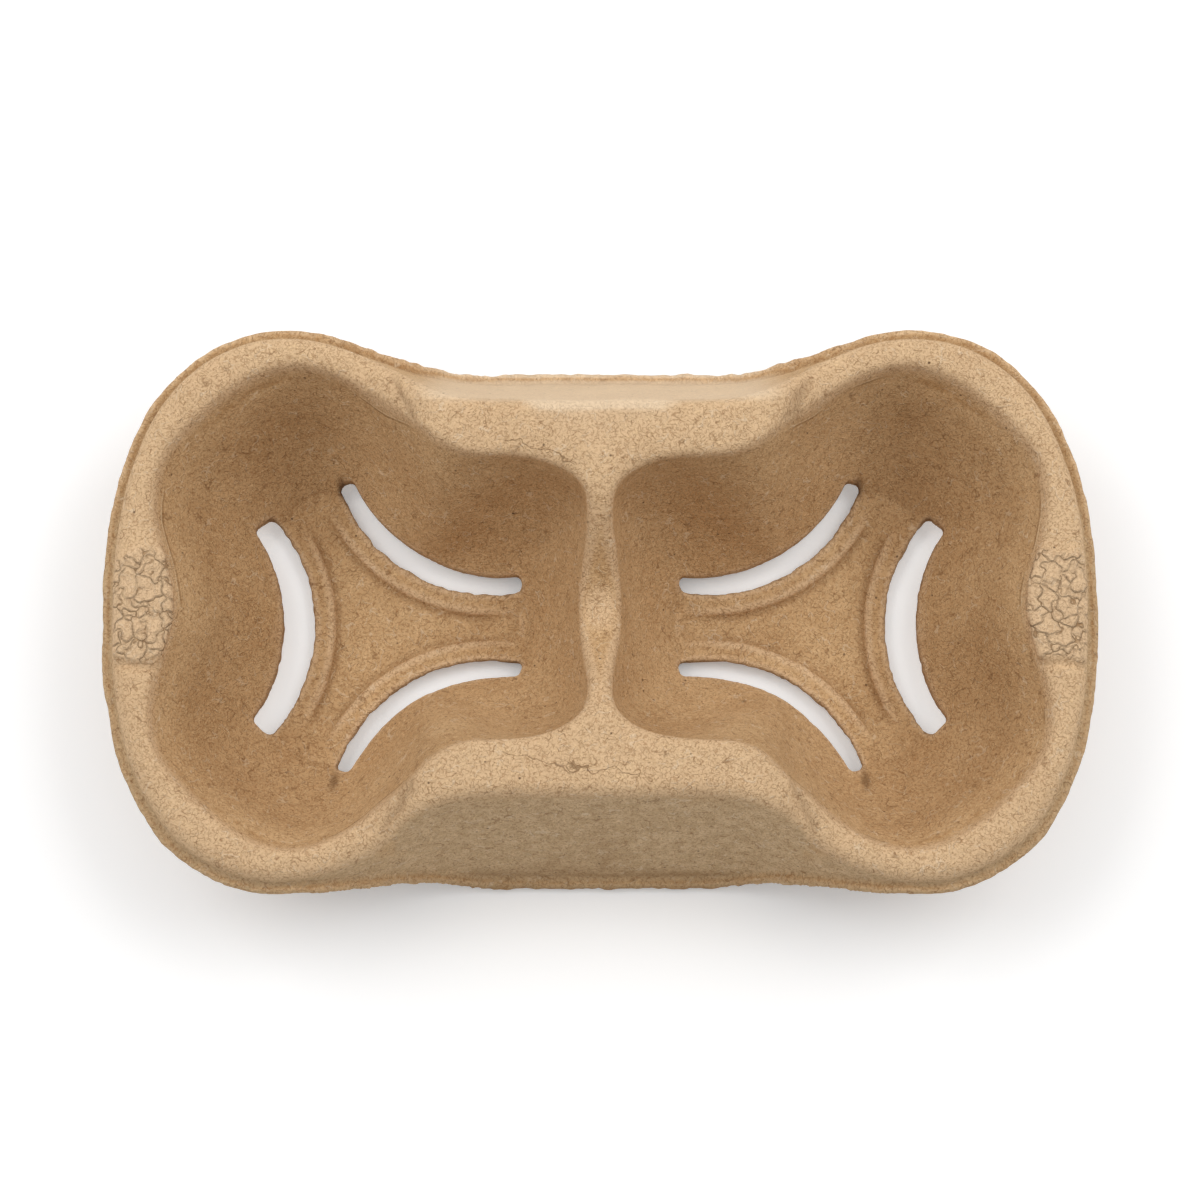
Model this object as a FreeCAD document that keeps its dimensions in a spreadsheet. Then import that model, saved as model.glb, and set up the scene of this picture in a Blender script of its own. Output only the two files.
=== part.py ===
import FreeCAD, Part
import Sketcher
import math
import os

# Two-cup carrier tray of moulded paper pulp, one thin shell.
# X runs along the tray, -Y is the front, +Z is up, and the floor pads rest on z = 0.
# The shell is the difference of two solid forms: the upper form is everything under the
# tray's upper surface, and the lower form is the same thing one wall further in.

doc = FreeCAD.newDocument("cup_carrier")

# Driving sizes, in millimetres and degrees
SIZES = [
    ("wall", 2.0, "thickness of the pulp"),
    ("cup_spacing", 99.0, "from one cup's axis to the other's"),
    ("corner_height", 35.0, "crest of the rim at corners and ends"),
    ("hump_height", 47.0, "crest of the raised middle of each long side"),
    ("saddle_height", 29.5, "lowest point of the divider between the cups"),
    ("ridge_width", 7.2, "divider, across its top"),
    ("ridge_round", 6.0, "radius across the divider's rounded top"),
    ("gusset_reach", 27.0, "half length of that rounded top, up to the humps"),
    ("hump_reach", 43.5, "from the middle to where each hump falls away"),
    ("saddle_reach", 14.5, "half length of the dip in the divider"),
    ("band_height", 3.8, "raised bands beside the slots, and the foot of the walls"),
    ("web_depth", 1.8, "floor pad below the bands"),
    ("boss_offset", 50.2, "from a cup's axis to the centre of a boss's foot circle"),
    ("boss_foot_radius", 33.0, "foot circle of the inward bosses"),
    ("arm_reach", 33.5, "from a cup's axis to the wall's foot, along an arm"),
    ("rim_below_crest", 2.0, "from the crest at corners down to where the rim is measured"),
    ("rim_boss_reach", 31.5, "cup's axis to a long side's boss, at rim level"),
    ("rim_corner_reach", 56.2, "cup's axis to the corner wall, at rim level"),
    ("rim_turn_reach", 55.3, "cup's axis to the end of the corner's round, at rim level"),
    ("rim_end_reach", 41.9, "cup's axis to the end boss, at rim level"),
    ("top_above_hump", 5.0, "from the humps' crest up to the pockets' top section"),
    ("top_boss_reach", 39.0, "cup's axis to a long side's boss, at the top section"),
    ("top_corner_reach", 61.5, "cup's axis to the corner wall, at the top section"),
    ("top_turn_reach", 60.5, "cup's axis to the end of the corner's round, at the top section"),
    ("top_end_reach", 48.0, "cup's axis to the end boss, at the top section"),
    ("gusset_angle", 25.0, "where the divider's straight wall turns into the hump"),
    ("end_crest", 13.2, "rim across the end boss, from pocket wall to skirt"),
    ("shoulder_crest", 7.1, "rim across the shoulders, from pocket wall to skirt"),
    ("hump_crest", 12.5, "hump at its middle, from pocket wall to skirt"),
    ("waist_reach", 24.0, "from the middle to where the waist starts to widen"),
    ("shoulder_reach", 65.0, "from the middle to the widest place"),
    ("apron_draft", 18.0, "slope of the aprons from upright"),
    ("end_draft", 10.0, "slope of the skirt from upright, at corners and ends"),
    ("edge_height", 28.5, "free edge of the skirt at corners and ends"),
    ("apron_height", 2.0, "free edge of the apron on each long side"),
    ("apron_reach", 27.0, "from the middle to where the free edge starts to climb"),
    ("edge_reach", 62.0, "from the middle to where the free edge is level again"),
    ("edge_bend", 16.0, "radius of the free edge's bends"),
    ("lip_reach", 2.0, "outward lip along the free edge"),
    ("lip_height", 1.6, "thickness of that lip"),
    ("crest_round", 2.2, "round of the crest on the pocket side"),
    ("skirt_round", 3.4, "round of the crest on the skirt side"),
    ("foot_round", 4.0, "round at the foot of the pocket walls"),
    ("slot_radius", 36.0, "slot edge on the pad side, about the boss's centre"),
    ("slot_corner", 1.2, "round of the slots' blunt corners"),
    ("end_slot_width", 6.8, "slot at the foot of an end boss, at its middle"),
    ("end_slot_tip", 5.0, "the same slot at its tips"),
    ("end_slot_sweep", 87.0, "the same slot's angle about the boss's centre"),
    ("side_slot_width", 4.7, "slot at the foot of a long side's boss, at its middle"),
    ("side_slot_tip", 3.3, "the same slot at its tips"),
    ("side_slot_sweep", 83.0, "the same slot's angle about the boss's centre"),
    ("band_width", 4.3, "raised band between a slot and the web"),
    ("band_slope", 0.5, "how far the band's inner side leans"),
    ("web_reach", 31.5, "from a cup's axis to the end of the recessed web"),
    ("keep_inset", 5.0, "from the skirt's outside to the line that keeps the pockets untrimmed"),
]

# Sizes that follow from those
DERIVED = [
    ("rim_level", "=corner_height - rim_below_crest", "height of the rim section"),
    ("top_level", "=hump_height + top_above_hump", "height of the pockets' top section"),
    ("skirt_length", "=cup_spacing + 2 * (rim_end_reach + end_crest)", "skirt along X, at rim level"),
    ("shoulder_depth", "=2 * (rim_corner_reach * cos(22 deg) + shoulder_crest)", "skirt across its shoulders"),
    ("waist_depth", "=2 * (top_boss_reach * sin(60 deg) + hump_crest)", "skirt across its waist"),
]

sheet = doc.addObject("Spreadsheet::Sheet", "Sizes")
for row, (name, value, note) in enumerate(SIZES + DERIVED, start=1):
    sheet.set(f"A{row}", name)
    sheet.set(f"B{row}", str(value))
    sheet.set(f"C{row}", note)
    sheet.setAlias(f"B{row}", name)
doc.recompute()


def size(name):
    return float(sheet.get(name))


WALL = size("wall")
POCKET_SLOPE_FACTOR = 1.12  # a pocket's wall measured level, over its thickness
BELOW = -3 * WALL  # underside of the solid forms, before they are opened below
ABOVE = size("top_level") + 2 * WALL
ARM_STEP = 120.0  # three arms and three bosses in each pocket
BOSS_ANGLE = ARM_STEP / 2
CORNER_BEFORE, CORNER_AFTER = 4.0, 20.0  # the corner's round, either side of its arm


def blend(share):
    """Smooth step from 0 to 1."""
    share = min(max(share, 0.0), 1.0)
    return 0.5 - 0.5 * math.cos(math.pi * share)


# Closed outlines, each one smooth curve in two halves


def closed_wire(points, z):
    curve = Part.BSplineCurve()
    curve.interpolate(Points=[FreeCAD.Vector(p.x, p.y, z) for p in points], PeriodicFlag=True)
    knots = curve.getKnots()
    middle = len(points) // 2
    halves = [curve.toShape(knots[0], knots[middle]), curve.toShape(knots[middle], knots[-1])]
    return Part.Wire(halves)


def section(name, wire):
    feature = doc.addObject("Part::Feature", name)
    feature.Shape = wire
    return feature


def offset_point(here, before, after, distance):
    along = after - before
    along.normalize()
    return here + FreeCAD.Vector(along.y, -along.x, 0) * distance


# Pocket outlines, as the distance from the cup's axis at each angle from the divider


def foot_radius(angle):
    """Foot of the walls: three boss arcs joined by three arm-end arcs, each tangent to the next."""
    boss, offset, reach = size("boss_foot_radius"), size("boss_offset"), size("arm_reach")
    centre = (offset ** 2 - (boss + reach) ** 2) / (offset - 2 * (boss + reach))
    arm = reach - centre
    half_turn = math.radians(BOSS_ANGLE)
    apart_x, apart_y = offset * math.cos(half_turn) - centre, offset * math.sin(half_turn)
    share = arm / math.hypot(apart_x, apart_y)
    tangent_angle = math.degrees(math.atan2(apart_y * share, centre + apart_x * share))
    from_arm = abs((angle + BOSS_ANGLE) % ARM_STEP - BOSS_ANGLE)
    if from_arm < tangent_angle:
        turn = math.radians(from_arm)
        return centre * math.cos(turn) + math.sqrt(arm ** 2 - (centre * math.sin(turn)) ** 2)
    turn = math.radians(BOSS_ANGLE - from_arm)
    return offset * math.cos(turn) - math.sqrt(boss ** 2 - (offset * math.sin(turn)) ** 2)


def upper_radius(angle, level):
    """Wall at the rim or top section: straight beside the divider, then boss, corner and end."""
    angle = abs((angle + 180.0) % 360.0 - 180.0)
    straight = size("cup_spacing") / 2 - size("ridge_width") / 2
    gusset = size("gusset_angle")
    if angle <= gusset:
        return straight / math.cos(math.radians(angle))
    keys = [
        (gusset, straight / math.cos(math.radians(gusset))),
        (BOSS_ANGLE, size(level + "_boss_reach")),
        (ARM_STEP - CORNER_BEFORE, size(level + "_corner_reach")),
        (ARM_STEP + CORNER_AFTER, size(level + "_turn_reach")),
        (180.0, size(level + "_end_reach")),
    ]
    for (start, first), (end, last) in zip(keys, keys[1:]):
        if angle <= end:
            return first + (last - first) * blend((angle - start) / (end - start))


def pocket_wire(radius_at, outward, z):
    """One level of a pocket, moved outward by a distance square to the outline."""
    count = 40
    step = 0.5

    def point(angle):
        turn = math.radians(angle)
        return FreeCAD.Vector(math.cos(turn), math.sin(turn), 0) * radius_at(angle)

    points = []
    for i in range(count):
        angle = 360.0 * i / count
        points.append(offset_point(point(angle), point(angle - step), point(angle + step), outward))
    return closed_wire(points, z)


def pocket_space(name, outward, floor, foot_round):
    """Room for one cup, left of the divider, as a loft with a rounded foot."""
    levels = [
        ("foot", foot_radius, floor),
        ("rim", lambda angle: upper_radius(angle, "rim"), size("rim_level")),
        ("top", lambda angle: upper_radius(angle, "top"), size("top_level")),
    ]
    sections = [
        section(f"{name}_{level}", pocket_wire(radius_at, outward, z))
        for level, radius_at, z in levels
    ]
    loft = doc.addObject("Part::Loft", name + "_walls")
    loft.Sections = sections
    loft.Solid = True
    loft.Ruled = False
    axis_x = -size("cup_spacing") / 2
    for each in sections:
        each.Placement = FreeCAD.Placement(FreeCAD.Vector(axis_x, 0, 0), FreeCAD.Rotation())
    doc.recompute()
    left = loft
    if foot_round > 0:
        foot = [i for i, edge in enumerate(loft.Shape.Edges, 1) if edge.BoundBox.ZMax < floor + 0.01]
        left = doc.addObject("Part::Fillet", name + "_left")
        left.Base = loft
        left.Edges = [(i, foot_round, foot_round) for i in foot]
    right = doc.addObject("Part::Mirroring", name + "_right")
    right.Source = left
    right.Normal = FreeCAD.Vector(1, 0, 0)
    return [left, right]


# Skirt outline: a waist that widens to the shoulders, then a superellipse round each end

END_POWER = 2.4  # of the superellipse
WAIST_SHARE = 0.5  # of a quarter's points, up to the shoulder


def skirt_point(share, outward, drop):
    """Point at a share of the quarter from the waist's middle to the end's middle.

    The skirt's face leans by its draft, so the point moves out with its drop below rim level.
    """
    waist, shoulder = size("waist_depth") / 2, size("shoulder_depth") / 2
    widest, end = size("shoulder_reach"), size("skirt_length") / 2

    def point(at):
        if at <= WAIST_SHARE:
            x = widest * at / WAIST_SHARE
            rise = blend((x - size("waist_reach")) / (widest - size("waist_reach")))
            return FreeCAD.Vector(x, waist + (shoulder - waist) * rise, 0)
        turn = math.pi / 2 * (at - WAIST_SHARE) / (1 - WAIST_SHARE)
        x = widest + (end - widest) * math.sin(turn) ** (2 / END_POWER)
        return FreeCAD.Vector(x, shoulder * max(math.cos(turn), 0.0) ** (2 / END_POWER), 0)

    here = point(share)
    towards_end = blend((here.x - size("waist_reach")) / (widest - size("waist_reach")))
    draft = size("apron_draft") + (size("end_draft") - size("apron_draft")) * towards_end
    lean = math.radians(draft)
    distance = outward / math.cos(lean) + drop * math.tan(lean)
    small = 1e-3
    if share < small:
        return here + FreeCAD.Vector(0, distance, 0)
    if share > 1 - small:
        return here + FreeCAD.Vector(distance, 0, 0)
    return offset_point(here, point(share + small), point(share - small), distance)


def skirt_wire(outward, z):
    per_quarter = 10
    drop = size("rim_level") - z
    quarter = [skirt_point(i / per_quarter, outward, drop) for i in range(per_quarter + 1)]
    front = [FreeCAD.Vector(p.x, -p.y, 0) for p in reversed(quarter[:-1])]
    half = quarter + front
    other = [FreeCAD.Vector(-p.x, p.y, 0) for p in reversed(half[1:-1])]
    return closed_wire(half + other, z)


def skirt_block(name, outward, bottom):
    """Everything inside the skirt's sloping outer face, moved outward by a thickness."""
    loft = doc.addObject("Part::Loft", name)
    loft.Sections = [
        section(f"{name}_{level}", skirt_wire(outward, z))
        for level, z in (("low", bottom), ("high", ABOVE))
    ]
    loft.Solid = True
    loft.Ruled = True
    return loft


# Crown: the height of the crest over the whole plan, high at the humps, dipped at the divider


HUMP_POWER = 12  # how suddenly the humps fall away
SADDLE_POWER = 2.6  # how suddenly the divider dips
POCKET_POWER = 8  # how suddenly the dip and the rounded top end, over the pockets


def fade(distance, reach, power):
    """1 in the middle, falling to 0 beyond the reach."""
    return math.exp(-(abs(distance) / reach) ** power)


def crown_height(x, y):
    corner, hump = size("corner_height"), size("hump_height")
    height = corner + (hump - corner) * fade(x, size("hump_reach"), HUMP_POWER)
    over_pocket = fade(x, size("cup_spacing") * 0.6, POCKET_POWER)
    dip = (hump - size("saddle_height")) * fade(y, size("saddle_reach"), SADDLE_POWER)
    beside = min(abs(x), size("ridge_round") + WALL)
    fall = beside ** 2 / (2 * size("ridge_round")) * fade(y, size("gusset_reach"), POCKET_POWER)
    return height - (dip + fall) * over_pocket


def crown_cut(name, below):
    """Space above the crown, under a smooth surface drawn through a net of poles."""
    reach_x, reach_y = size("skirt_length") * 0.62, size("shoulder_depth") * 0.75
    columns, rows, degree = 53, 29, 3
    net = []
    for i in range(columns):
        x = -reach_x + 2 * reach_x * i / (columns - 1)
        ys = [-reach_y + 2 * reach_y * j / (rows - 1) for j in range(rows)]
        net.append([FreeCAD.Vector(x, y, crown_height(x, y) - below) for y in ys])
    spans = [count - degree for count in (columns, rows)]
    knots = [list(range(span + 1)) for span in spans]
    turns = [[degree + 1] + [1] * (span - 1) + [degree + 1] for span in spans]
    surface = Part.BSplineSurface()
    surface.buildFromPolesMultsKnots(
        net, turns[0], turns[1], knots[0], knots[1], False, False, degree, degree
    )
    face = doc.addObject("Part::Feature", name + "_surface")
    face.Shape = surface.toShape()
    space = doc.addObject("Part::Extrusion", name)
    space.Base = face
    space.DirMode = "Custom"
    space.Dir = FreeCAD.Vector(0, 0, 1)
    space.setExpression("LengthFwd", "Sizes.hump_height * 1.5")
    space.Solid = True
    return space


# Web: the recessed three-arm star of the floor pad, a disc less three leaning boss circles


def web_space(name, grow, bottom, height):
    disc = doc.addObject("Part::Cylinder", name + "_disc")
    disc.setExpression("Radius", f"Sizes.web_reach + {grow}")
    disc.Height = height
    disc.Placement.Base = FreeCAD.Vector(0, 0, bottom)
    cones = []
    for i in range(3):
        turn = math.radians(BOSS_ANGLE + ARM_STEP * i)
        cone = doc.addObject("Part::Cone", f"{name}_side_{i + 1}")
        cone.setExpression("Radius1", f"Sizes.slot_radius + Sizes.band_width + Sizes.band_slope - {grow}")
        cone.setExpression("Radius2", f"Sizes.slot_radius + Sizes.band_width - {grow}")
        cone.Height = height
        cone.Placement.Base = FreeCAD.Vector(
            math.cos(turn) * size("boss_offset"), math.sin(turn) * size("boss_offset"), bottom
        )
        cones.append(cone)
    sides = doc.addObject("Part::MultiFuse", name + "_sides")
    sides.Shapes = cones
    star = doc.addObject("Part::Cut", name + "_star")
    star.Base = disc
    star.Tool = sides
    star.Placement.Base = FreeCAD.Vector(-size("cup_spacing") / 2, 0, 0)
    other = doc.addObject("Part::Mirroring", name + "_other")
    other.Source = star
    other.Normal = FreeCAD.Vector(1, 0, 0)
    return [star, other]


def whole_form(name, inward, bottom, foot_round):
    """Everything below the tray's upper surface, or below its lower one when moved inward."""
    block = skirt_block(name + "_block", -inward, bottom)
    floor = size("band_height") - inward
    web_floor = floor - size("web_depth")
    spaces = [crown_cut(name + "_crown", inward)]
    spaces += pocket_space(name + "_pocket", inward * POCKET_SLOPE_FACTOR, floor, foot_round)
    spaces += web_space(name + "_web", inward, web_floor, size("web_depth") * 1.5)
    tool = doc.addObject("Part::MultiFuse", name + "_spaces")
    tool.Shapes = spaces
    form = doc.addObject("Part::Cut", name)
    form.Base = block
    form.Tool = tool
    doc.recompute()
    return form


upper = whole_form("upper_form", 0.0, BELOW, size("foot_round"))
lower = whole_form("lower_form", WALL, BELOW + WALL, size("foot_round") + WALL)


# Crest: rounded first on the skirt side, then on the pocket side


def rounded_crest(name, base, radius, on_skirt):
    """Rounds the crest's long edges, those of the skirt or those of the pockets."""
    edges = []
    for i, edge in enumerate(base.Shape.Edges, 1):
        box = edge.BoundBox
        on_crest = box.ZMin > size("saddle_height") - WALL and min(box.XLength, box.YLength) > WALL
        if on_crest and (box.YLength > size("waist_depth")) == on_skirt:
            edges.append((i, radius, radius))
    fillet = doc.addObject("Part::Fillet", name)
    fillet.Base = base
    fillet.Edges = edges
    doc.recompute()
    return fillet


skirt_rounded = rounded_crest("skirt_rounded", upper, size("skirt_round"), True)
rounded = rounded_crest("crest_rounded", skirt_rounded, size("crest_round"), False)


# Free edge: low across each long side's apron, then climbing to the corners and ends


def origin_plane(body, role):
    return next(each for each in body.Origin.OriginFeatures if each.Role == role)


def under_edge(name, extra):
    """All that lies under the free edge's line, raised by an extra height."""
    body = doc.addObject("PartDesign::Body", name)
    sketch = body.newObject("Sketcher::SketchObject", name + "_profile")
    sketch.AttachmentSupport = (origin_plane(body, "XZ_Plane"), "")
    sketch.MapMode = "FlatFace"
    far, deep = size("skirt_length"), 20.0
    high, low = size("edge_height"), size("apron_height")
    outer, inner = size("edge_reach"), size("apron_reach")
    corners = [
        (-far, -deep), (far, -deep), (far, high), (outer, high),
        (inner, low), (-inner, low), (-outer, high), (-far, high),
    ]
    for start, end in zip(corners, corners[1:] + corners[:1]):
        line = Part.LineSegment(FreeCAD.Vector(*start, 0), FreeCAD.Vector(*end, 0))
        sketch.addGeometry(line, False)
    for i in range(len(corners)):
        sketch.addConstraint(Sketcher.Constraint("Coincident", i, 2, (i + 1) % len(corners), 1))
    for first, second in ((0, 1), (3, 6), (4, 5)):
        sketch.addConstraint(Sketcher.Constraint("Symmetric", first, 1, second, 1, -2))
    for i in (1, 7):
        sketch.addConstraint(Sketcher.Constraint("Vertical", i))
    for i in (2, 6):
        sketch.addConstraint(Sketcher.Constraint("Horizontal", i))
    distances = [
        ("DistanceX", 1, far, "Sizes.skirt_length"),
        ("DistanceX", 3, outer, "Sizes.edge_reach"),
        ("DistanceY", 3, high, f"Sizes.edge_height + {extra}"),
        ("DistanceX", 4, inner, "Sizes.apron_reach"),
        ("DistanceY", 4, low, f"Sizes.apron_height + {extra}"),
    ]
    for kind, point, value, formula in distances:
        index = sketch.addConstraint(Sketcher.Constraint(kind, -1, 1, point, 1, value))
        sketch.setExpression(f"Constraints[{index}]", formula)
    sketch.addConstraint(Sketcher.Constraint("DistanceY", 0, 1, -1, 1, deep))
    pad = body.newObject("PartDesign::Pad", name + "_pad")
    pad.Profile = sketch
    pad.SideType = "Symmetric"
    pad.setExpression("Length", "Sizes.shoulder_depth * 1.5")
    doc.recompute()
    bends = [
        f"Edge{i}"
        for i, edge in enumerate(pad.Shape.Edges, 1)
        if edge.BoundBox.YLength > size("shoulder_depth")
        and edge.BoundBox.ZMax > 0
        and abs(edge.BoundBox.XMax) < size("edge_reach") + 1
    ]
    fillet = body.newObject("PartDesign::Fillet", name + "_bends")
    fillet.Base = (pad, bends)
    fillet.setExpression("Radius", "Sizes.edge_bend")
    body.Tip = fillet
    doc.recompute()
    return body


edge_space = under_edge("edge_space", 0.0)
lip_limit = under_edge("lip_limit", size("lip_height"))


# Trim: everything below the free edge goes, but for the pockets inside an upright wall

keep_line = section("keep_line", skirt_wire(-size("keep_inset"), size("rim_level")))
keep = doc.addObject("Part::Extrusion", "keep_pockets")
keep.Base = keep_line
keep.DirMode = "Custom"
keep.Dir = FreeCAD.Vector(0, 0, 1)
keep.setExpression("LengthFwd", "Sizes.edge_height * 2")
keep.setExpression("LengthRev", "Sizes.edge_height * 2")
keep.Solid = True
trim = doc.addObject("Part::Cut", "trim")
trim.Base = edge_space
trim.Tool = keep
below = doc.addObject("Part::Box", "below")
below.setExpression("Length", "Sizes.skirt_length * 1.5")
below.setExpression("Width", "Sizes.shoulder_depth * 1.5")
below.Height = -2 * BELOW - WALL
below.setExpression("Placement.Base.x", "-Length / 2")
below.setExpression("Placement.Base.y", "-Width / 2")
below.Placement.Base.z = 2 * BELOW
doc.recompute()

# Slots: a crescent at the foot of each boss, wider in its middle than at its blunt tips


def slot_space(name, kind, turn):
    """A crescent's space, turned about the left cup's axis from the end boss to its own."""
    offset, radius = size("boss_offset"), size("slot_radius")
    width, tip = size(kind + "_width"), size(kind + "_tip")
    half = math.radians(size(kind + "_sweep") / 2)
    tip_radius, middle_radius = radius - tip, radius - width
    chord = tip_radius * math.sin(half)
    rise = middle_radius - tip_radius * math.cos(half)
    back_radius = (chord ** 2 + rise ** 2) / (2 * rise)
    back_half = math.asin(chord / back_radius)

    body = doc.addObject("PartDesign::Body", name)
    body.Placement = FreeCAD.Placement(
        FreeCAD.Vector(-size("cup_spacing") / 2, 0, 0),
        FreeCAD.Rotation(FreeCAD.Vector(0, 0, 1), turn),
    )
    sketch = body.newObject("Sketcher::SketchObject", name + "_profile")
    sketch.AttachmentSupport = (origin_plane(body, "XY_Plane"), "")
    sketch.MapMode = "FlatFace"
    up = FreeCAD.Vector(0, 0, 1)
    centre = FreeCAD.Vector(-offset, 0, 0)
    back_centre = centre + FreeCAD.Vector(middle_radius - back_radius, 0, 0)
    spoke = FreeCAD.Vector(math.cos(half), math.sin(half), 0)
    low_spoke = FreeCAD.Vector(spoke.x, -spoke.y, 0)
    for line in (
        Part.ArcOfCircle(Part.Circle(centre, up, radius), -half, half),
        Part.ArcOfCircle(Part.Circle(back_centre, up, back_radius), -back_half, back_half),
        Part.LineSegment(centre + spoke * tip_radius, centre + spoke * radius),
        Part.LineSegment(centre + low_spoke * tip_radius, centre + low_spoke * radius),
    ):
        sketch.addGeometry(line, False)
    for joint in ((2, 2, 0, 2), (2, 1, 1, 2), (3, 2, 0, 1), (3, 1, 1, 1)):
        sketch.addConstraint(Sketcher.Constraint("Coincident", *joint))
    for on_line in ((0, 3, -1), (0, 3, 2), (0, 3, 3)):
        sketch.addConstraint(Sketcher.Constraint("PointOnObject", *on_line))
    driven = [
        (("DistanceX", 0, 3, -1, 1, offset), "Sizes.boss_offset"),
        (("Radius", 0, radius), "Sizes.slot_radius"),
        (("Angle", 2, half), f"Sizes.{kind}_sweep * 1 deg / 2"),
        (("Angle", 3, -half), f"-Sizes.{kind}_sweep * 1 deg / 2"),
        (("Distance", 2, tip), f"Sizes.{kind}_tip"),
        (("Distance", 3, tip), f"Sizes.{kind}_tip"),
    ]
    for arguments, formula in driven:
        index = sketch.addConstraint(Sketcher.Constraint(*arguments))
        sketch.setExpression(f"Constraints[{index}]", formula)
    sketch.addConstraint(Sketcher.Constraint("Radius", 1, back_radius))
    pad = body.newObject("PartDesign::Pad", name + "_pad")
    pad.Profile = sketch
    pad.SideType = "Symmetric"
    pad.setExpression("Length", "Sizes.hump_height")
    doc.recompute()
    corners = [
        f"Edge{i}"
        for i, edge in enumerate(pad.Shape.Edges, 1)
        if max(edge.BoundBox.XLength, edge.BoundBox.YLength) < size("slot_corner") / 2
    ]
    fillet = body.newObject("PartDesign::Fillet", name + "_corners")
    fillet.Base = (pad, corners)
    fillet.setExpression("Radius", "Sizes.slot_corner")
    body.Tip = fillet
    return body


slots = [
    slot_space("end_slot", "end_slot", 0.0),
    slot_space("back_slot", "side_slot", -ARM_STEP),
    slot_space("front_slot", "side_slot", ARM_STEP),
]
doc.recompute()
left_slots = doc.addObject("Part::Compound", "left_slots")
left_slots.Links = slots
right_slots = doc.addObject("Part::Mirroring", "right_slots")
right_slots.Source = left_slots
right_slots.Normal = FreeCAD.Vector(1, 0, 0)

# Shell: the upper form with the lower form as a hollow in it, opened below and along the edge

doc.recompute()
hollow = doc.addObject("Part::Feature", "hollow_form")
skins = [rounded.Shape.Solids[0].OuterShell, lower.Shape.Solids[0].OuterShell.reversed()]
hollow.Shape = Part.Solid(Part.Compound(skins))
openings = doc.addObject("Part::MultiFuse", "openings")
openings.Shapes = [trim, below, left_slots, right_slots]
shell = doc.addObject("Part::Cut", "shell")
shell.Base = hollow
shell.Tool = openings

# Lip: a thin ledge outside the skirt, along the free edge
lip_block = skirt_block("lip_block", size("lip_reach"), BELOW)
lip_core = skirt_block("lip_core", -WALL / 2, BELOW)
lip_band = doc.addObject("Part::Cut", "lip_band")
lip_band.Base = lip_limit
lip_band.Tool = edge_space
lip_plate = doc.addObject("Part::MultiCommon", "lip_plate")
lip_plate.Shapes = [lip_block, lip_band]
lip = doc.addObject("Part::Cut", "lip")
lip.Base = lip_plate
lip.Tool = lip_core

tray = doc.addObject("Part::Fuse", "carrier_tray")
tray.Label = "carrier_tray"
tray.Base = shell
tray.Tool = lip
tray.Placement = FreeCAD.Placement()
doc.recompute()

for each in doc.Objects:
    if "Invalid" in each.State or "Error" in each.State:
        raise RuntimeError(f"{each.Name} is not right: {each.State}")

shape = tray.Shape
if shape.isNull() or not shape.isValid() or len(shape.Solids) != 1:
    raise RuntimeError("carrier_tray is not one good solid")
box = shape.optimalBoundingBox(False)
print("carrier_tray", round(box.XLength, 1), round(box.YLength, 1), round(box.ZMin, 2),
      round(box.ZMax, 2), "volume", round(shape.Volume))
os.makedirs("parts", exist_ok=True)
shape.exportStep(os.path.join("parts", "carrier_tray.step"))
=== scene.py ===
import math

import bmesh
import bpy
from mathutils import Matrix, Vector, noise


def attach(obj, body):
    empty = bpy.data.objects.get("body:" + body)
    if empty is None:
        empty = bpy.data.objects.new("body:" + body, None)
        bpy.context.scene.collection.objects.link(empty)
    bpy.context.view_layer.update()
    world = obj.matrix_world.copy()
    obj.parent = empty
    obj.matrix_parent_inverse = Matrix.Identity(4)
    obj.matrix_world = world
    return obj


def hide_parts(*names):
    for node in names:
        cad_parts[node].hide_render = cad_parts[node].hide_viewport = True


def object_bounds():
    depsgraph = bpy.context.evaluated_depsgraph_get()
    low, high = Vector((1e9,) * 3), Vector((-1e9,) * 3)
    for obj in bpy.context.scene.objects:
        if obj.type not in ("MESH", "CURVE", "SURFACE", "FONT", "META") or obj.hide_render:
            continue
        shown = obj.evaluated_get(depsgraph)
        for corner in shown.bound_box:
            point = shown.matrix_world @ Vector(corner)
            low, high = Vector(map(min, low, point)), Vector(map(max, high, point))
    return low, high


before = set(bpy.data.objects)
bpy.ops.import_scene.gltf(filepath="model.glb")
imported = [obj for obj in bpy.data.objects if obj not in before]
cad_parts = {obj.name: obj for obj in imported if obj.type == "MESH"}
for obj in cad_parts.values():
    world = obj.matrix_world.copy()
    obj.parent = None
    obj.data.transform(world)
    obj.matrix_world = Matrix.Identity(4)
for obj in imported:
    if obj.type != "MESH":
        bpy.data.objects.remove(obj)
cad_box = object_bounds()
scene = bpy.context.scene


# Carrier tray
# One shell of moulded paper pulp, sucked wet on to a mesh former and dried. The upper side is
# open and fibrous, the crest is rounded, and the free edge is deckled where the pulp thinned out.

MM = 0.001
CUP_SPACING = 99 * MM
CORNER_HEIGHT = 35 * MM
HUMP_HEIGHT = 47 * MM
HUMP_REACH = 43.5 * MM  # half length of a hump
HUMP_SIDE = 43 * MM  # what lies further out from the middle line is a hump's outer side
HUMP_POWER = 12  # how squarely a hump rises from the corners' crest
EDGE_HEIGHT = 28.5 * MM
APRON_HEIGHT = 2 * MM
APRON_REACH = 27 * MM
EDGE_REACH = 62 * MM
POCKET_REACH = 54 * MM  # what lies further from the cup's axis is outside the pocket
PAD_LEVEL = 7 * MM  # the pads, slots and bands lie below this
BOSS_OFFSET = 50.2 * MM
SLOT_OUTSIDE = 36 * MM
BAND_HEIGHT = 3.8 * MM


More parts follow.
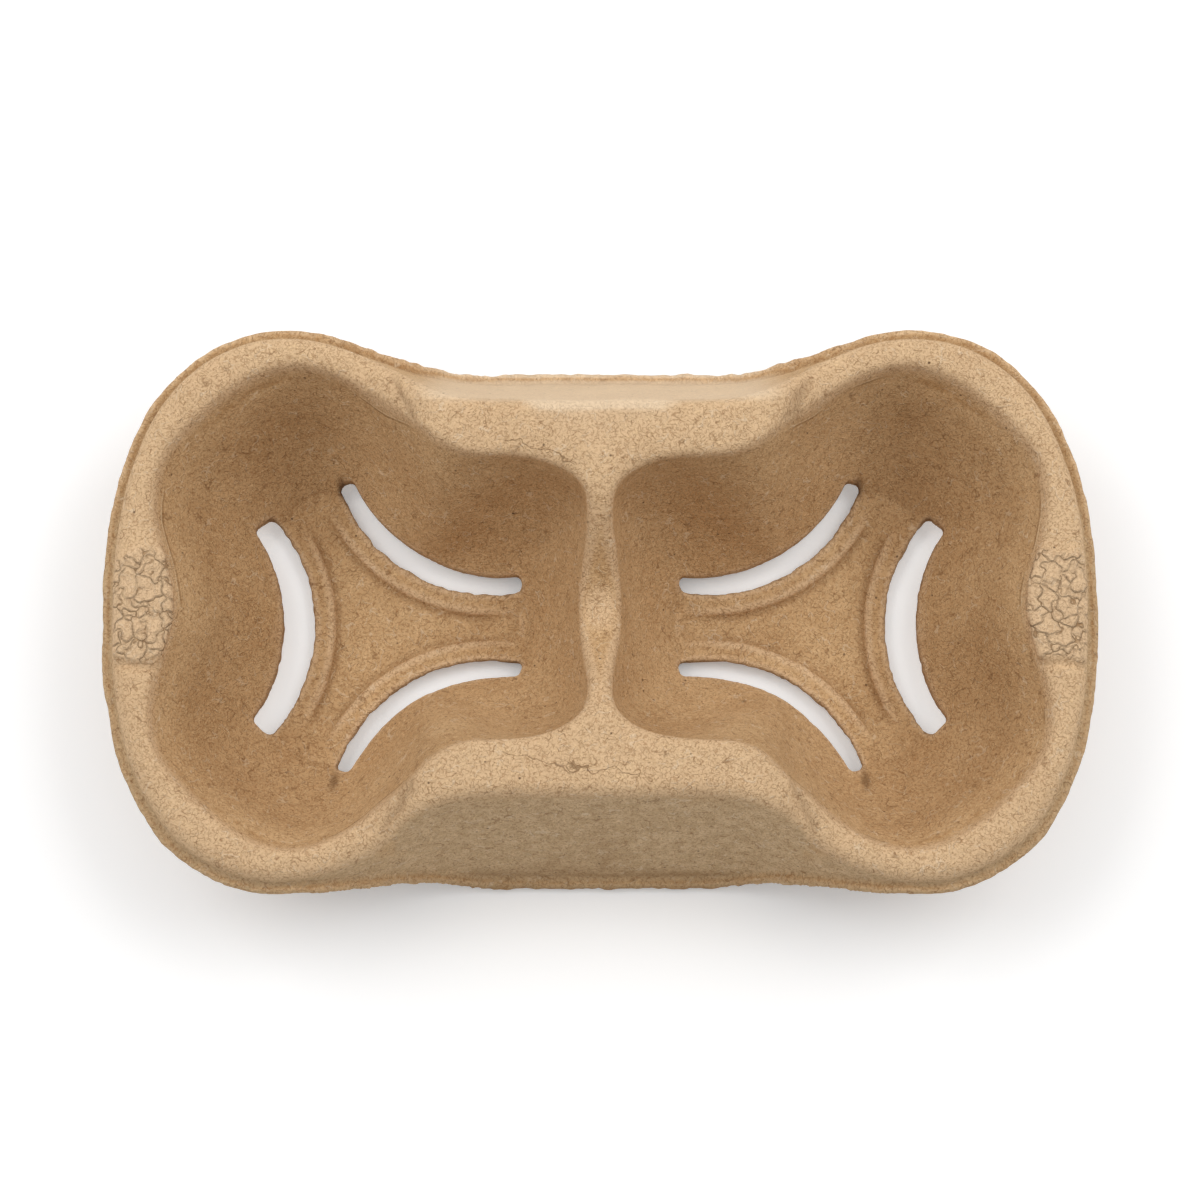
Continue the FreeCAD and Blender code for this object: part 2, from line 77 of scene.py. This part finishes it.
def step(low, high, value):
    """Smooth step from 0 at low to 1 at high."""
    share = min(max((value - low) / (high - low), 0.0), 1.0)
    return share * share * (3 - 2 * share)


def new_piece(name, mesh):
    """An object with this mesh, in the scene."""
    piece = bpy.data.objects.new(name, mesh)
    scene.collection.objects.link(piece)
    return piece


def applied(piece, kind, **settings):
    """Adds a modifier to a piece, applies it and leaves the piece with the new mesh."""
    modifier = piece.modifiers.new(kind, kind)
    for name, value in settings.items():
        setattr(modifier, name, value)
    bpy.context.view_layer.update()
    whole = piece.evaluated_get(bpy.context.evaluated_depsgraph_get())
    mesh = bpy.data.meshes.new_from_object(whole)
    piece.modifiers.clear()
    piece.vertex_groups.clear()
    piece.data = mesh


def group_of(piece, name, chosen):
    """Puts the vertices that the function chooses by place and facing into a group."""
    group = piece.vertex_groups.new(name=name)
    group.add([v.index for v in piece.data.vertices if chosen(v.co, v.normal)], 1.0, "REPLACE")
    return name


# An even mesh, a little coarser than the fibres, laid back on to the moulding's own surface
GRAIN = 0.7 * MM
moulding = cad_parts["carrier_tray"]
tray = new_piece("pulp_tray", moulding.data.copy())
shape = bmesh.new()
shape.from_mesh(tray.data)
bmesh.ops.remove_doubles(shape, verts=shape.verts, dist=0.005 * MM)
shape.to_mesh(tray.data)
shape.free()
applied(tray, "REMESH", mode="VOXEL", voxel_size=GRAIN, adaptivity=0.0)
applied(tray, "SMOOTH", factor=0.5, iterations=4)
applied(tray, "SHRINKWRAP", target=moulding, wrap_method="NEAREST_SURFACEPOINT")
applied(tray, "SMOOTH", factor=0.3, iterations=1)


def crest_line(x):
    """Height of the crest at this place along the tray."""
    rise = math.exp(-((abs(x) / HUMP_REACH) ** HUMP_POWER))
    return CORNER_HEIGHT + (HUMP_HEIGHT - CORNER_HEIGHT) * rise


def edge_line(x):
    """Height of the free edge at this place along the tray."""
    share = min(max((abs(x) - APRON_REACH) / (EDGE_REACH - APRON_REACH), 0), 1)
    return APRON_HEIGHT + (EDGE_HEIGHT - APRON_HEIGHT) * share


def wobble(place, size, seed=0.0):
    """Smooth noise from -1 to 1, with lumps about this size."""
    return noise.noise(place / size + Vector((seed, -seed, seed * 0.7)))


def from_slots(place):
    """Distance from the nearest slot's edge, inwards to the pad."""
    x, y = abs(place.x) - CUP_SPACING / 2, place.y
    bosses = ((BOSS_OFFSET, 0.0), (-BOSS_OFFSET / 2, 1.0), (-BOSS_OFFSET / 2, -1.0))
    rise = BOSS_OFFSET * math.sqrt(3) / 2
    return min(math.hypot(x - bx, y - side * rise) for bx, side in bosses) - SLOT_OUTSIDE


def rim_height(place):
    """Height above the free edge, or a full metre in the pockets, where no edge is near."""
    off_cup = math.hypot(abs(place.x) - CUP_SPACING / 2, place.y)
    behind_hump = abs(place.x) < HUMP_REACH and abs(place.y) > HUMP_SIDE - 2 * MM
    if off_cup < POCKET_REACH and not behind_hump:
        return 1.0
    return place.z - edge_line(place.x)


def on_pad(place):
    """Low in a pocket, where the web, the bands and the slots are."""
    return place.z < PAD_LEVEL and rim_height(place) > 10 * MM


def on_web(place, facing):
    """The upper side of the web and its bands, clear of the slots' edges."""
    return on_pad(place) and facing.z > 0 and from_slots(place) > 1 * MM


def on_plain_wall(place, facing):
    """Smooth walls need fewer faces than torn edges, slots, bands and the crumpled ends."""
    upper_pad = on_pad(place) and facing.z > -0.2
    crumpled = abs(place.x) > 88 * MM and abs(place.y) < 16 * MM and place.z > 32 * MM
    return not (upper_pad or crumpled or rim_height(place) < 4 * MM)


# Bands as soft as wet pulp leaves them
applied(tray, "SMOOTH", factor=0.5, iterations=8, vertex_group=group_of(tray, "web", on_web))
applied(tray, "DECIMATE", ratio=0.37, vertex_group=group_of(tray, "plain", on_plain_wall))

shape = bmesh.new()
shape.from_mesh(tray.data)
shape.normal_update()

# Where each kind of surface is, for the material: from 0 to 1, and depth in mm below the crest
MASKS = ("torn", "hollow", "ridge_highlight", "patch", "outer", "depth", "slot", "deep", "tear_and_fold_shade", "lit_back", "inner")
masks = {name: shape.verts.layers.float.new(name) for name in MASKS}

# How hollow or ridged the surface is round each vertex, averaged over its neighbours
bend = {}
for vertex in shape.verts:
    around = [edge.other_vert(vertex).co - vertex.co for edge in vertex.link_edges]
    bend[vertex] = sum(way.dot(vertex.normal) / way.length_squared for way in around) / len(around)
for _ in range(2):
    evened = {}
    for vertex, here in bend.items():
        around = [bend[edge.other_vert(vertex)] for edge in vertex.link_edges]
        evened[vertex] = 0.4 * here + 0.6 * sum(around) / len(around)
    bend = evened

PATCH_HALF = 12.2 * MM  # half length of the crumpled place on each end's crest
FOLD_OFFSET = 13.6 * MM  # a fold across the crest, in front of the crumpled place
TEARS = ((58.1 * MM, 31.6 * MM), (58.6 * MM, -35 * MM))  # where the side slots' tips tore
moves = []
for vertex in shape.verts:
    place, facing = vertex.co.copy(), vertex.normal.copy()
    curve = bend[vertex] * MM
    middle = math.copysign(CUP_SPACING / 2, place.x)
    away = Vector((place.x - middle, place.y, 0)).normalized()
    if abs(place.x) < HUMP_REACH:
        away = Vector((0, math.copysign(1, place.y), 0))
    below_crest = crest_line(place.x) - place.z
    off_pocket = math.hypot(place.x - middle, place.y) - POCKET_REACH
    if abs(place.x) < HUMP_REACH:
        off_pocket = max(off_pocket, abs(place.y) - HUMP_SIDE)
    on_skirt = step(-0.1, 0.35, facing.dot(away)) * step(-2 * MM, 1 * MM, off_pocket)
    near_edge = 1 - step(0.8 * MM, 2.8 * MM, rim_height(place))
    # The divider's top and the ridged places get a painted highlight in the material
    divider_top = step(7 * MM, 2.5 * MM, abs(place.x)) * step(0.8, 0.97, facing.z)
    divider_top *= step(24 * MM, 28 * MM, place.z)
    # Hollow places get painted shade in the material
    vertex[masks["hollow"]] = step(0.015, 0.11, curve)
    vertex[masks["ridge_highlight"]] = max(step(0.012, 0.08, -curve), divider_top)
    vertex[masks["depth"]] = below_crest / MM
    # Deep in the end pockets, where painted shade darkens the material
    vertex[masks["deep"]] = step(6 * MM, 15 * MM, below_crest) * step(50 * MM, 70 * MM, abs(place.x))
    # Just inside the corners' crest, where the painted crease line goes
    vertex[masks["inner"]] = step(-1 * MM, -3 * MM, off_pocket) * step(38 * MM, 44 * MM, abs(place.x))
    # The front skirt, which turns greyer with painted shade where it faces away from the lights
    vertex[masks["outer"]] = on_skirt * step(30 * MM, 10 * MM, place.y)
    # The back skirt, which gets painted light where it faces the back light
    at_back = on_skirt * step(10 * MM, 30 * MM, place.y)
    vertex[masks["lit_back"]] = at_back * step(43 * MM, 32 * MM, abs(place.x))
    vertex[masks["torn"]] = near_edge
    off_tear = min(math.hypot(abs(place.x) - x, (place.y - y) * 0.45) for x, y in TEARS)
    vertex[masks["tear_and_fold_shade"]] = 1 - step(0.4 * MM, 1.5 * MM, off_tear)

    # The former's own unevenness
    move = facing * (wobble(place, 9 * MM) * 0.16 + wobble(place, 2.6 * MM, 3.1) * 0.06) * MM

    # Free edge: ragged in and out, and up and down, most of all beside the back apron
    beside_apron = step(15 * MM, 25 * MM, abs(place.x)) * step(60 * MM, 50 * MM, abs(place.x))
    rough = 0.6 + 0.9 * beside_apron * (place.y > 0)
    ragged = rough * (wobble(place, 7 * MM, 7.7) * 0.5 + wobble(place, 1.8 * MM, 1.3) * 0.25)
    lift = wobble(place, 8 * MM, 4.4) * 0.4 + wobble(place, 2.2 * MM, 9.2) * 0.2
    move += near_edge * (away * ragged + Vector((0, 0, lift))) * MM

    # Slot edges, cut by a worn tool
    to_slot = from_slots(place)
    at_slot = step(0.6, 0.9, abs(facing.xy.length)) * (1 - step(5 * MM, 8 * MM, place.z))
    at_slot *= 1 - step(0.5 * MM, 2 * MM, abs(to_slot)) * (1 - step(3 * MM, 8 * MM, -to_slot))
    # The slots' cut walls, which get painted shade in the material
    vertex[masks["slot"]] = at_slot
    sideways = Vector((facing.x, facing.y, 0))
    worn = wobble(place, 1.9 * MM, 6.1) * 0.35 + wobble(place, 5 * MM, 2.2) * 0.2
    move += at_slot * sideways * worn * MM

    # The web's recess runs out before the arms' outer ends, and its middle is not quite flat
    if on_web(place, facing) and place.z < BAND_HEIGHT:
        outwards = abs(place.x) - CUP_SPACING / 2
        below_band = BAND_HEIGHT - place.z
        run_out = step(21 * MM, 30 * MM, math.hypot(outwards, place.y)) * (1.0 if outwards > 0 else 0.6)
        middle_rise = 0.7 * MM * step(5.5 * MM, 9 * MM, to_slot)
        move.z += max(below_band * run_out, min(middle_rise, below_band))
        # The painted shade and highlight along the recess's edges fade where it runs out
        for name in ("hollow", "ridge_highlight"):
            vertex[masks[name]] *= 1 - run_out

    # Folds where the humps rise out of the corners' crest
    across = abs(place.x) - 42.8 * MM - 0.45 * (abs(place.y) - 44 * MM)
    across += wobble(place, 5 * MM, 6.6) * 1.5 * MM
    on_fold = step(0.1, 0.5, facing.z) * step(33 * MM, 35 * MM, place.z)
    on_fold *= step(37 * MM, 40 * MM, abs(place.y)) * step(51 * MM, 48 * MM, abs(place.y))
    on_fold *= math.exp(-((across / (0.9 * MM)) ** 2))
    move -= facing * on_fold * 0.6 * MM
    # The folds' creases also get painted shade, in the same mask as the tears
    vertex[masks["tear_and_fold_shade"]] = max(vertex[masks["tear_and_fold_shade"]], 0.45 * on_fold)

    # Crumpled place on the crest of each end, a little proud of the rest
    on_end = step(86 * MM, 89 * MM, abs(place.x)) * (1 - step(0.8 * MM, 2.2 * MM, below_crest))
    off_fold = place.y + FOLD_OFFSET + wobble(place, 6 * MM, 2.9) * 1.5 * MM
    fold = math.exp(-((off_fold / (0.8 * MM)) ** 2))
    move -= facing * fold * on_end * 0.9 * MM
    length = abs(place.y + wobble(place, 6 * MM, 8.8) * 3 * MM)
    crumple = on_end * (1 - step(PATCH_HALF - 1.6 * MM, PATCH_HALF, length))
    move += facing * crumple * (0.75 + 0.5 * wobble(place, 3.2 * MM, 5.5)) * MM
    vertex[masks["patch"]] = crumple
    moves.append(move)

# The pulp's own unevenness stays within the moulding's box
for vertex, move in zip(shape.verts, moves):
    vertex.co = [min(max(c, low), high) for c, low, high in zip(vertex.co + move, *cad_box)]
for face in shape.faces:
    face.smooth = True
shape.to_mesh(tray.data)
shape.free()


def linear(code):
    """An sRGB hex colour as linear RGBA."""
    parts = [int(code[i : i + 2], 16) / 255 for i in (0, 2, 4)]
    return [c / 12.92 if c <= 0.04045 else ((c + 0.055) / 1.055) ** 2.4 for c in parts] + [1.0]


def add(tree, kind, links=(), inputs=(), **settings):
    """Adds a node with its settings, its input values and links from other nodes' sockets."""
    node = tree.nodes.new("ShaderNode" + kind)
    for name, value in settings.items():
        setattr(node, name, value)
    for name, value in dict(inputs).items():
        node.inputs[name].default_value = value
    for name, socket in dict(links).items():
        tree.links.new(socket, node.inputs[name])
    return node


# Moulded pulp: unbleached kraft and recycled fibre. Matt and warm tan, with curled light and
# dark fibres, fine grain from the former, soft blotches and a few dark specks.
# Light and shade are partly painted in too: highlights on the crest and ridges, shade in hollows, slot
# walls, deep corners and the front skirt
pulp = bpy.data.materials.new("moulded_pulp")
pulp.use_nodes = True
tree = pulp.node_tree
tree.nodes.clear()
spot = add(tree, "TexCoord").outputs["Object"]
in_mm = add(tree, "Mapping", {"Vector": spot}, {"Scale": (1000, 1000, 1000)}).outputs[0]


def lumps(size, detail=2.0, rough=0.5, shift=0.0):
    """Noise from 0 to 1 with lumps of this size in millimetres."""
    moved = in_mm
    if shift:
        moved = add(tree, "VectorMath", {0: in_mm}, {1: (shift, -shift, shift)}).outputs[0]
    return add(
        tree, "TexNoise", {"Vector": moved},
        {"Scale": 1 / size, "Detail": detail, "Roughness": rough},
    ).outputs["Fac"]


def between(value, low, high, bottom=0.0, top=1.0):
    """The value carried from low..high to bottom..top, smoothly and clamped."""
    return add(
        tree, "MapRange", {"Value": value},
        {"From Min": low, "From Max": high, "To Min": bottom, "To Max": top},
        interpolation_type="SMOOTHSTEP",
    ).outputs["Result"]


def math_of(operation, first, second=0.0):
    """A sum on two values, each a number or another node's socket."""
    links, values = {}, {}
    for i, value in enumerate((first, second)):
        (values if isinstance(value, float) else links)[i] = value
    return add(tree, "Math", links, values, operation=operation).outputs[0]


def times(first, second):
    """The product of two values."""
    return math_of("MULTIPLY", first, second)


def apart(first, second):
    """How far two values are apart, without sign."""
    return math_of("ABSOLUTE", math_of("SUBTRACT", first, second))


def curls(size, width, share, shift):
    """Curled fibres: thin level lines of a noise, kept only in places."""
    off_line = apart(lumps(size, 1.0, 0.4, shift), 0.5)
    kept = between(lumps(size * 0.9, 0.0, 0.5, shift + 31.7), share, share + 0.05)
    return times(between(off_line, width, width * 0.2), kept)


def mixed(factor, under, over, blend="MIX"):
    """The upper colour over the lower one, each a colour or a socket."""
    node = add(tree, "Mix", {}, {}, data_type="RGBA", blend_type=blend)
    for socket, value in ((node.inputs[0], factor), (node.inputs[6], under), (node.inputs[7], over)):
        if hasattr(value, "links"):
            tree.links.new(value, socket)
        else:
            socket.default_value = value
    return node.outputs[2]


def mask(name):
    """One of the values stored with the mesh's vertices."""
    return add(tree, "Attribute", attribute_name=name, attribute_type="GEOMETRY").outputs["Fac"]


def tinted(colour, factor, strength, code):
    """The colour turned towards this one, where the factor says."""
    return mixed(times(factor, strength), colour, linear(code))


blotch = lumps(16.0, 2.0, 0.6)
mottle = lumps(3.0, 2.0, 0.6, 9.1)
grain = lumps(0.5, 1.0, 0.6)
worms_dark = curls(0.85, 0.07, 0.42, 0.0)
worms_light = curls(0.9, 0.07, 0.4, 17.3)
long_dark = curls(2.6, 0.03, 0.56, 5.9)
long_light = curls(3.0, 0.026, 0.55, 23.9)
depth, hollow, ridge_highlight = mask("depth"), mask("hollow"), mask("ridge_highlight")
outer, torn, slot_wall_shade, patch = mask("outer"), mask("torn"), mask("slot"), mask("patch")

tan = mixed(between(blotch, 0.3, 0.7), linear("c6a074"), linear("d1ad81"))
tan = tinted(tan, between(mottle, 0.38, 0.66), 0.28, "b08b60")
crest = between(depth, 4.5, 1.5)
# Painted highlight on the crest, the ridges and the divider's top, where the light falls on the tops
tan = tinted(tan, math_of("MAXIMUM", crest, ridge_highlight), 0.5, "e4c5a1")
# Painted shade in the hollows: creases, grooves and the bands' foot
tan = tinted(tan, hollow, 0.45, "8f6a46")
# The front skirt turns greyer: painted shade, as it faces away from the lights
front_shade_grey = mixed(between(mottle, 0.3, 0.7), linear("bfa17b"), linear("d2b48e"))
tan = mixed(times(outer, between(depth, 1.5, 4.0)), tan, front_shade_grey)
tan = tinted(tan, between(grain, 0.4, 0.75), 0.3, "947045")
tan = tinted(tan, worms_dark, 0.42, "8f6238")
tan = tinted(tan, worms_light, 0.34, "ecc99a")
tan = tinted(tan, long_dark, 0.5, "805934")
tan = tinted(tan, long_light, 0.35, "ead4b6")
tan = tinted(tan, times(torn, between(mottle, 0.4, 0.55)), 0.3, "a3743f")
# Painted shade on the slots' cut walls
tan = tinted(tan, slot_wall_shade, 0.4, "8a6238")
# Painted shade deep in the end pockets' corners
tan = mixed(mask("deep"), tan, (0.8, 0.76, 0.72, 1.0), "MULTIPLY")
# Painted light on the back skirt, which faces the back light
tan = tinted(tan, mask("lit_back"), 0.5, "f0dbbe")
# Dark tears at the slots' tips are the pulp's own; the same darkening along the folds is painted shade
tan = tinted(tan, mask("tear_and_fold_shade"), 0.6, "5a3c20")

# A crease drawn in paint, a few millimetres inside the corners' crest: a painted highlight line with a
# painted shade line at its foot
wander = math_of("ADD", depth, times(lumps(22.0, 1.0, 0.5, 3.3), 4.0))
shown = times(mask("inner"), between(lumps(15.0, 1.0, 0.5, 12.6), 0.44, 0.52))
for level, width, strength, code in ((5.6, 0.32, 0.5, "e3c8a2"), (6.1, 0.45, 0.5, "80592f")):
    line = between(apart(wander, level), width, width * 0.3)
    tan = tinted(tan, times(line, shown), strength, code)

# Dark specks of recycled print, in a few of the cells
speck_cells = add(tree, "TexVoronoi", {"Vector": in_mm}, {"Scale": 0.42, "Randomness": 1.0})
speck = between(speck_cells.outputs["Distance"], 0.15, 0.07)
lot = add(tree, "SeparateColor", {"Color": speck_cells.outputs["Color"]}).outputs[0]
tan = tinted(tan, times(speck, between(lot, 0.9, 0.92)), 0.75, "4a3320")

# Crumpled ends: dark cracks between small plates
bend_way = add(tree, "TexNoise", {"Vector": in_mm}, {"Scale": 0.45, "Detail": 0.0}).outputs["Color"]
bend_way = add(tree, "VectorMath", {0: bend_way}, {"Scale": 3.5}, operation="SCALE").outputs[0]
bent_spot = add(tree, "VectorMath", {0: in_mm, 1: bend_way}, {}, operation="ADD").outputs[0]
plates = add(
    tree, "TexVoronoi", {"Vector": bent_spot}, {"Scale": 0.24, "Randomness": 1.0},
    feature="DISTANCE_TO_EDGE",
).outputs["Distance"]
crack = times(between(plates, 0.035, 0.008), between(patch, 0.5, 0.95))
crack = times(crack, between(mottle, 0.38, 0.56, 0.25, 1.0))
tan = tinted(tan, patch, 0.3, "e4c5a1")
tan = tinted(tan, crack, 0.6, "80592f")
domes = times(between(plates, 0.0, 0.16), patch)

# Hairline cracks on the humps, which wander by a noise that they share
drift = math_of("SUBTRACT", lumps(5.0, 2.0, 0.6, 41.0), 0.5)


def hair_crack(start, end, bow):
    """A hairline crack between two places in millimetres, wandering to the sides."""
    half = math.dist(start, end) / 2
    turn = math.atan2(end[1] - start[1], end[0] - start[0])
    along = add(
        tree, "Mapping", {"Vector": in_mm}, {"Location": (*start, 0), "Rotation": (0, 0, turn)},
        vector_type="TEXTURE",
    ).outputs[0]
    split = add(tree, "SeparateXYZ", {"Vector": along}).outputs
    off = apart(split["Y"], times(drift, bow))
    off_middle = apart(split["X"], half)
    line = times(between(off, 0.2, 0.08), between(off_middle, half, half * 0.8))
    return times(line, between(depth, 6.0, 4.0))


for start, end, bow in (
    ((-20.9, -33.3), (-5.0, -37.2), 6.0), ((-8.0, -36.0), (9.0, -38.1), 7.0),
    ((-20.5, 34.2), (-11.5, 31.5), 5.0), ((-12.5, 31.8), (-5.0, 28.0), 5.0),
):
    tan = tinted(tan, hair_crack(start, end, bow), 0.6, "6b4a2a")

# Relief, in millimetres for each height
relief = times(grain, 0.10)
for height, share in (
    (mottle, 0.16), (worms_light, 0.08), (long_light, 0.06), (worms_dark, -0.07),
    (times(mottle, crest), 0.2), (domes, 0.4), (crack, -0.25),
):
    relief = math_of("ADD", relief, times(height, share))
bump = add(tree, "Bump", {"Height": relief}, {"Strength": 1.0, "Distance": 1.0 * MM})
skin = add(
    tree, "BsdfPrincipled", {"Base Color": tan, "Normal": bump.outputs[0]},
    {"Roughness": 0.92, "IOR": 1.45, "Specular IOR Level": 0.25},
)
add(tree, "OutputMaterial", {"Surface": skin.outputs[0]})
tray.data.materials.clear()
tray.data.materials.append(pulp)
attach(tray, "root")
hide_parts("carrier_tray")


# Floor, light and camera
# A white sweep between two large soft lights, with a weaker one behind the tray, and the camera
# almost straight above. The floor glows to the camera alone: white, but it keeps its shadow.

FLOOR_GLOW = 0.19
ROOM_LIGHT = 0.51

floor_shape = bmesh.new()
bmesh.ops.create_grid(floor_shape, x_segments=1, y_segments=1, size=2.0)
floor_mesh = bpy.data.meshes.new("floor")
floor_shape.to_mesh(floor_mesh)
floor_shape.free()
floor = new_piece("floor", floor_mesh)
white = bpy.data.materials.new("white_sweep")
white.use_nodes = True
tree = white.node_tree
tree.nodes.clear()
matt = add(tree, "BsdfDiffuse", {}, {"Color": linear("f4f4f4")})
glow = add(tree, "Emission", {}, {"Color": (1, 1, 1, 1), "Strength": FLOOR_GLOW})
path = add(tree, "LightPath")
seen = add(
    tree, "Math", {0: path.outputs["Is Camera Ray"], 1: path.outputs["Is Glossy Ray"]}, {},
    operation="MAXIMUM",
)
seen_glow = add(tree, "MixShader", {0: seen.outputs[0], 2: glow.outputs[0]})
both = add(tree, "AddShader", {0: matt.outputs[0], 1: seen_glow.outputs[0]})
add(tree, "OutputMaterial", {"Surface": both.outputs[0]})
floor.data.materials.append(white)

world = bpy.data.worlds.new("studio")
world.use_nodes = True
world.node_tree.nodes["Background"].inputs["Color"].default_value = (1, 1, 1, 1)
world.node_tree.nodes["Background"].inputs["Strength"].default_value = ROOM_LIGHT
scene.world = world


def soft_light(name, place, size, power):
    """A wide light that faces the tray."""
    light = bpy.data.lights.new(name, "AREA")
    light.shape = "RECTANGLE"
    light.size, light.size_y = size
    light.energy = power
    lamp = bpy.data.objects.new(name, light)
    lamp.location = place
    lamp.rotation_euler = (-Vector(place)).to_track_quat("-Z", "Y").to_euler()
    scene.collection.objects.link(lamp)


soft_light("left_softbox", (-0.75, 0.35, 0.95), (0.8, 0.8), 5.5)
soft_light("right_softbox", (0.75, 0.35, 0.95), (0.8, 0.8), 5.7)
soft_light("back_softbox", (0, 0.85, 0.95), (1.3, 0.9), 2.2)

TILT = math.radians(9.5)
DISTANCE = 0.7
AIM = Vector((0, 0, 0.02))
LENS = 96.1  # in mm
SHIFT = 15.5 / 1200  # of the picture's width, so that the tray lies in it as in the photo
camera_data = bpy.data.cameras.new("camera")
camera_data.sensor_width = 36
camera_data.lens = LENS
camera_data.shift_y = SHIFT
camera = bpy.data.objects.new("camera", camera_data)
camera.location = AIM + DISTANCE * Vector((0, -math.sin(TILT), math.cos(TILT)))
camera.rotation_euler = (TILT, 0, 0)
scene.collection.objects.link(camera)
scene.camera = camera
scene.view_settings.view_transform = "Standard"
